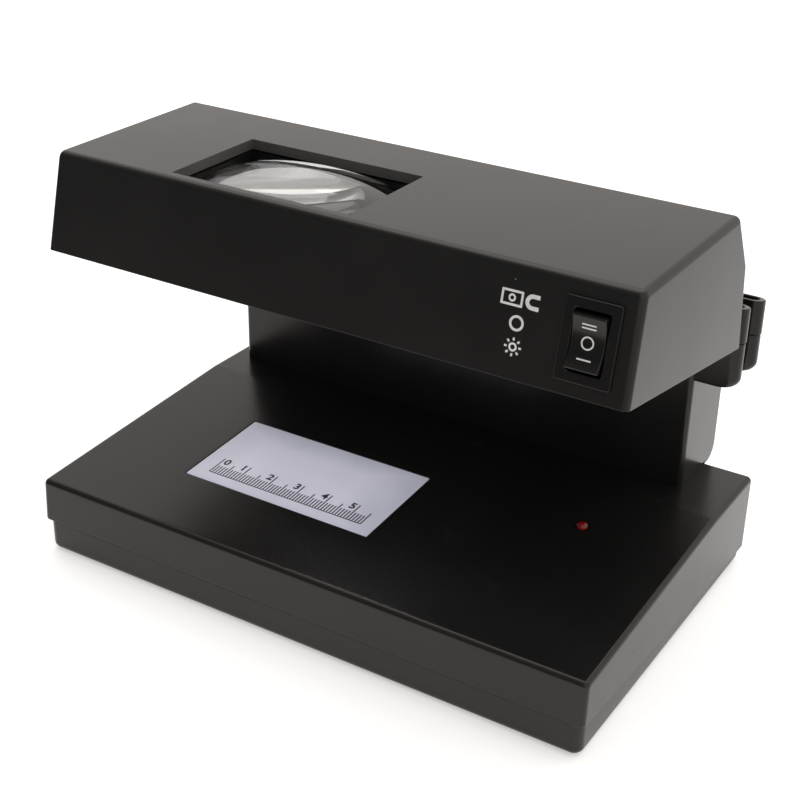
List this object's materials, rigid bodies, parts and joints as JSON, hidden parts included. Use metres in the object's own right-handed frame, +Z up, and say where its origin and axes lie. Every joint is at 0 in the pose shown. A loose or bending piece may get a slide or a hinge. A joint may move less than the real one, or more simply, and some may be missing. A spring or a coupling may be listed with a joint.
{
  "type": "counterfeit bill detector",
  "caption": "Desktop banknote tester: sloped base with a lit watermark panel, column and overhanging head with magnifier window, ultraviolet lamp and rocker switch.",
  "frame": {"origin": "on the table under the rubber feet, under the middle of the whole object's width and depth", "axes": "+X to the user's right, +Y to the rear, +Z up; a note goes in from the front, -Y"},
  "size_m": [0.1869, 0.1248, 0.1212],
  "materials": {
    "black_shell": "satin-gloss black ABS with a very fine moulded grain",
    "black_gloss": "smooth black moulding",
    "rubber_black": "matte",
    "screw_steel": "zinc plated",
    "tinned_brass": "tinned",
    "bright_aluminium": "bright rolled sheet",
    "milk_panel": "translucent milk-white acrylic with a printed centimetre scale",
    "white_lamp_resin": "lamp resin",
    "white_plastic": "matte white moulding",
    "circuit_board": "coated laminate",
    "red_lens": "clear red resin",
    "dark_ferrite": "varnished",
    "lens_glass": "polished",
    "lamp_glass": "deep violet-black lamp glass",
    "silver_plate": "blank plate",
    "wire_sleeve": "sleeved bundle"
  },
  "bodies": {
    "root": {"base_screw_1": "screw_steel", "base_screw_2": "screw_steel", "base_screw_3": "screw_steel", "base_screw_4": "screw_steel", "base_shell": "black_shell", "base_tray": "black_shell", "buzzer": "black_gloss", "capacitor": "black_gloss", "column_shell": "black_shell", "control_board": "circuit_board", "head_screw_1": "screw_steel", "head_screw_2": "screw_steel", "head_screw_3": "screw_steel", "head_screw_4": "screw_steel", "head_shell": "black_shell", "head_underplate": "black_shell", "indicator_lamp": "red_lens", "lamp_reflector": "bright_aluminium", "lens_frame": "black_gloss", "light_box": "white_plastic", "magnetic_pickup": "tinned_brass", "magnifier_lens": "lens_glass", "power_inlet": "black_gloss", "power_pin_1": "tinned_brass", "power_pin_2": "tinned_brass", "rating_plate": "silver_plate", "rear_cover": "black_shell", "rear_screw_1": "screw_steel", "rear_screw_2": "screw_steel", "rear_screw_3": "screw_steel", "rear_screw_4": "screw_steel", "rubber_foot_1": "rubber_black", "rubber_foot_2": "rubber_black", "rubber_foot_3": "rubber_black", "rubber_foot_4": "rubber_black", "switch_body": "black_gloss", "switch_terminal_1": "tinned_brass", "switch_terminal_2": "tinned_brass", "switch_terminal_3": "tinned_brass", "transformer": "dark_ferrite", "tube_socket_left": "white_plastic", "tube_socket_right": "white_plastic", "watermark_lamp_board": "circuit_board", "watermark_panel": "milk_panel", "white_lamp_1": "white_lamp_resin", "white_lamp_2": "white_lamp_resin", "white_lamp_3": "white_lamp_resin", "white_lamp_4": "white_lamp_resin", "wire_harness": "wire_sleeve"},
    "rocker": {"rocker": "black_gloss"},
    "uv_tube": {"uv_tube": "lamp_glass", "tube_cap_left": "bright_aluminium", "tube_cap_right": "bright_aluminium"}
  },
  "joints": [
    {"name": "rocker_tilt", "type": "hinge", "parent": "root", "child": "rocker", "pos_m": [0.078, -0.0422, 0.10652], "axis": [1, 0, 0], "range_deg": [-10, 10]},
    {"name": "tube_turn", "type": "hinge", "parent": "root", "child": "uv_tube", "pos_m": [-0.0019, 0.01545, 0.096], "axis": [1, 0, 0], "range_deg": [0, 90]}
  ]
}
